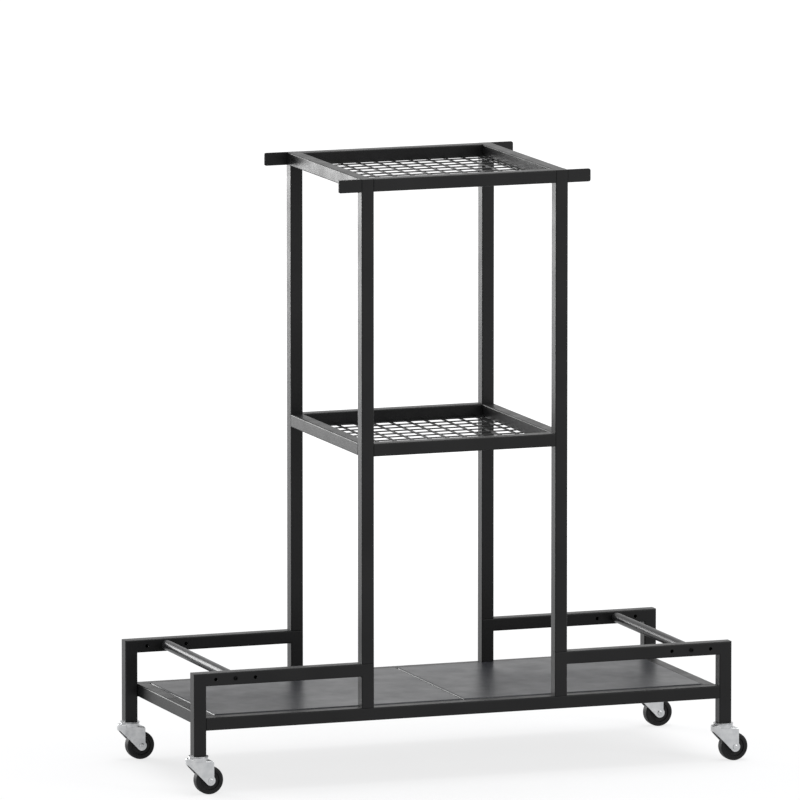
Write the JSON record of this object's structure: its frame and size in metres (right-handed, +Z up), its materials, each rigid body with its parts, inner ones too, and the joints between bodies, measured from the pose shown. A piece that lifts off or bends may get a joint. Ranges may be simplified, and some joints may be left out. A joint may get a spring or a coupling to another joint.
{
  "type": "ski storage rack",
  "caption": "Black steel rolling rack for skis: a two-part tray for boots, two grid shelves, ski bays with divider rods, hook plates and swivel casters.",
  "frame": {"origin": "on the floor under the middle of the outline, halfway between the furthest wheel and the furthest fork in X", "axes": "+Z up, +X to the right along the tray, -Y towards the front"},
  "size_m": [1.1476, 0.444, 1.17],
  "materials": {
    "frame_paint": "semi-gloss black powder coat",
    "tray_paint": "gloss black powder coat",
    "rod_paint": "satin dark grey coat",
    "screw_black": "black oxide",
    "zinc": "bright zinc plate",
    "caster_tyre": "black rubber"
  },
  "bodies": {
    "frame": {"corner_post_front_left": "frame_paint", "side_rail_front_left": "frame_paint", "inner_post_front_left": "frame_paint", "upright_front_left": "frame_paint", "corner_post_front_right": "frame_paint", "side_rail_front_right": "frame_paint", "inner_post_front_right": "frame_paint", "upright_front_right": "frame_paint", "corner_post_rear_left": "frame_paint", "side_rail_rear_left": "frame_paint", "inner_post_rear_left": "frame_paint", "upright_rear_left": "frame_paint", "corner_post_rear_right": "frame_paint", "side_rail_rear_right": "frame_paint", "inner_post_rear_right": "frame_paint", "upright_rear_right": "frame_paint", "base_rail_front": "frame_paint", "base_rail_rear": "frame_paint", "end_rail_left": "frame_paint", "end_rail_right": "frame_paint", "tray_left": "tray_paint", "tray_right": "tray_paint", "mid_shelf_front": "frame_paint", "mid_shelf_rear": "frame_paint", "mid_shelf_left": "frame_paint", "mid_shelf_right": "frame_paint", "mid_shelf_grid": "frame_paint", "top_shelf_front": "frame_paint", "top_shelf_rear": "frame_paint", "top_shelf_left": "frame_paint", "top_shelf_right": "frame_paint", "top_shelf_grid": "frame_paint", "hook_plate_front_left": "frame_paint", "hook_plate_front_right": "frame_paint", "hook_plate_rear_left": "frame_paint", "hook_plate_rear_right": "frame_paint", "divider_rod_left": "rod_paint", "rod_screw_front_left": "screw_black", "rod_screw_rear_left": "screw_black", "divider_rod_right": "rod_paint", "rod_screw_front_right": "screw_black", "rod_screw_rear_right": "screw_black", "caster_head_front_left": "zinc", "caster_head_front_right": "zinc", "caster_head_rear_left": "zinc", "caster_head_rear_right": "zinc"},
    "swivel_front_left": {"caster_fork_front_left": "zinc", "caster_axle_front_left": "zinc"},
    "wheel_front_left": {"caster_wheel_front_left": "caster_tyre"},
    "swivel_front_right": {"caster_fork_front_right": "zinc", "caster_axle_front_right": "zinc"},
    "wheel_front_right": {"caster_wheel_front_right": "caster_tyre"},
    "swivel_rear_left": {"caster_fork_rear_left": "zinc", "caster_axle_rear_left": "zinc"},
    "wheel_rear_left": {"caster_wheel_rear_left": "caster_tyre"},
    "swivel_rear_right": {"caster_fork_rear_right": "zinc", "caster_axle_rear_right": "zinc"},
    "wheel_rear_right": {"caster_wheel_rear_right": "caster_tyre"}
  },
  "joints": [
    {"name": "caster_swivel_front_left", "type": "hinge", "parent": "frame", "child": "swivel_front_left", "pos_m": [-0.54875, -0.2025, 0.0689], "axis": [0, 0, 1], "continuous": true},
    {"name": "wheel_spin_front_left", "type": "hinge", "parent": "swivel_front_left", "child": "wheel_front_left", "pos_m": [-0.52875, -0.2025, 0.0275], "axis": [0, 1, 0], "continuous": true},
    {"name": "caster_swivel_front_right", "type": "hinge", "parent": "frame", "child": "swivel_front_right", "pos_m": [0.52625, -0.2025, 0.0689], "axis": [0, 0, 1], "continuous": true},
    {"name": "wheel_spin_front_right", "type": "hinge", "parent": "swivel_front_right", "child": "wheel_front_right", "pos_m": [0.54625, -0.2025, 0.0275], "axis": [0, 1, 0], "continuous": true},
    {"name": "caster_swivel_rear_left", "type": "hinge", "parent": "frame", "child": "swivel_rear_left", "pos_m": [-0.54875, 0.2025, 0.0689], "axis": [0, 0, 1], "continuous": true},
    {"name": "wheel_spin_rear_left", "type": "hinge", "parent": "swivel_rear_left", "child": "wheel_rear_left", "pos_m": [-0.52875, 0.2025, 0.0275], "axis": [0, 1, 0], "continuous": true},
    {"name": "caster_swivel_rear_right", "type": "hinge", "parent": "frame", "child": "swivel_rear_right", "pos_m": [0.52625, 0.2025, 0.0689], "axis": [0, 0, 1], "continuous": true},
    {"name": "wheel_spin_rear_right", "type": "hinge", "parent": "swivel_rear_right", "child": "wheel_rear_right", "pos_m": [0.54625, 0.2025, 0.0275], "axis": [0, 1, 0], "continuous": true}
  ]
}
